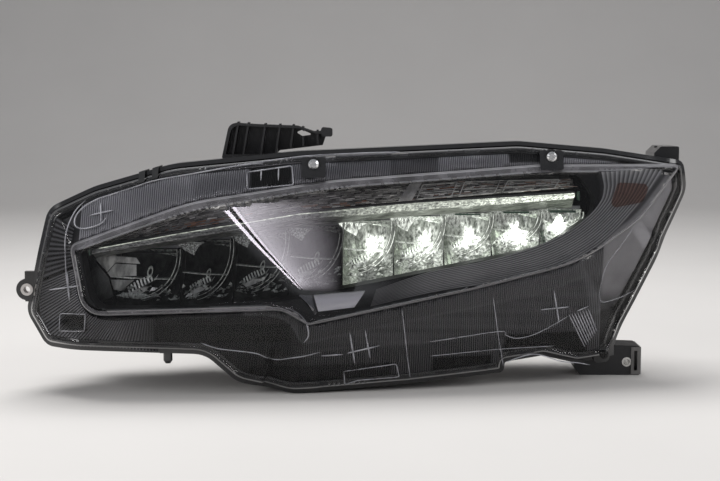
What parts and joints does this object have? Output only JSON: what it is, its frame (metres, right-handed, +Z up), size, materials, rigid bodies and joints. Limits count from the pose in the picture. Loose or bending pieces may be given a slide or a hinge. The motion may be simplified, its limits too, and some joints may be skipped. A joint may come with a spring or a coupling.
{
  "type": "car headlight assembly",
  "caption": "Swept-back front lamp for a car: clear lens, row of projector cells, light guide, black housing with brackets and an aiming drive.",
  "frame": {"origin": "middle of the underside of the bounding box, on the surface that the lamp stands on", "axes": "+X outboard along the lamp, +Z up, and the lens faces -Y"},
  "size_m": [0.6791, 0.2184, 0.2676],
  "materials": {
    "amber_plastic": "amber",
    "black_plastic": "moulded black",
    "bright_reflector": "bright metallised",
    "bulb_glass": "clear amber",
    "cast_aluminium": "as cast",
    "circuit_board": "green laminate",
    "clear_lens": "clear gloss",
    "clear_plastic": "clear",
    "grey_trim": "dark grey satin",
    "led_chip": "phosphor",
    "nylon": "natural nylon",
    "plated_steel": "zinc plated",
    "rubber_seal": "matte"
  },
  "bodies": {
    "lamp_housing": {"accent_blade": "bright_reflector", "arm_screws": "plated_steel", "connector_pins": "plated_steel", "driver_case": "cast_aluminium", "driver_cover": "black_plastic", "driver_screws": "plated_steel", "face_screws": "plated_steel", "gearbox_case": "black_plastic", "gearbox_cover": "black_plastic", "gearbox_screws": "plated_steel", "guide_led_boards": "circuit_board", "housing": "black_plastic", "inner_trim": "grey_trim", "lens_clips": "plated_steel", "lens_seal": "rubber_seal", "light_guide": "clear_plastic", "light_guide_holder": "grey_trim", "lower_bracket_clip": "plated_steel", "lower_bracket_screws": "plated_steel", "lower_mount_bracket": "black_plastic", "main_connector": "black_plastic", "mount_collars": "plated_steel", "outer_lens": "clear_lens", "pivot_studs": "plated_steel", "side_mount_bush": "nylon", "side_reflex": "amber_plastic", "trim_bracket_inboard": "black_plastic", "trim_bracket_outboard": "black_plastic", "turn_inner_lens": "clear_plastic", "turn_reflector": "bright_reflector", "upper_arm_bracket": "black_plastic", "vent_caps": "rubber_seal"},
    "aim_carrier": {"adjuster_socket": "nylon", "carrier_frame": "cast_aluminium", "carrier_screws": "plated_steel", "dipped_heat_sink": "cast_aluminium", "dipped_led_boards": "circuit_board", "dipped_leds": "led_chip", "dipped_reflector_5": "bright_reflector", "dipped_reflector_6": "bright_reflector", "dipped_reflector_7": "bright_reflector", "dipped_reflector_8": "bright_reflector", "dipped_reflector_9": "bright_reflector", "main_heat_sink": "cast_aluminium", "main_led_boards": "circuit_board", "main_leds": "led_chip", "main_reflector_1": "bright_reflector", "main_reflector_2": "bright_reflector", "main_reflector_3": "bright_reflector", "main_reflector_4": "bright_reflector", "pivot_socket_inboard": "nylon", "pivot_socket_outboard": "nylon"},
    "adjuster_screw": {"adjuster_screw": "plated_steel"},
    "adjuster_gear": {"adjuster_gear": "nylon"},
    "turn_socket": {"turn_socket": "black_plastic", "turn_bulb": "bulb_glass", "turn_socket_seal": "rubber_seal"},
    "marker_socket": {"marker_socket": "black_plastic", "marker_bulb": "bulb_glass", "marker_socket_seal": "rubber_seal"}
  },
  "joints": [
    {"name": "vertical_aim", "type": "hinge", "parent": "lamp_housing", "child": "aim_carrier", "pos_m": [0.0007, 0.0121, 0.13], "axis": [1, 0, 0], "range_deg": [-2, 2]},
    {"name": "aiming_screw_travel", "type": "slide", "parent": "lamp_housing", "child": "adjuster_screw", "axis": [0, 1, 0], "range_m": [-0.0023, 0.0023]},
    {"name": "aiming_gear_turn", "type": "hinge", "parent": "lamp_housing", "child": "adjuster_gear", "pos_m": [-0.0293, 0.0821, 0.066], "axis": [0, 1, 0], "range_deg": [-404, 404]},
    {"name": "turn_socket_twist", "type": "hinge", "parent": "lamp_housing", "child": "turn_socket", "pos_m": [-0.17442, -0.00076, 0.179], "axis": [-0.1184, 0.993, 0], "range_deg": [0, 45]},
    {"name": "marker_socket_twist", "type": "hinge", "parent": "lamp_housing", "child": "marker_socket", "pos_m": [0.30022, 0.05584, 0.196], "axis": [-0.1184, 0.993, 0], "range_deg": [0, 45]}
  ],
  "couplings": [
    {"joint": "aiming_screw_travel", "follows": "vertical_aim", "m_per_rad": 0.064},
    {"joint": "aiming_gear_turn", "follows": "vertical_aim", "ratio": 201.06}
  ]
}
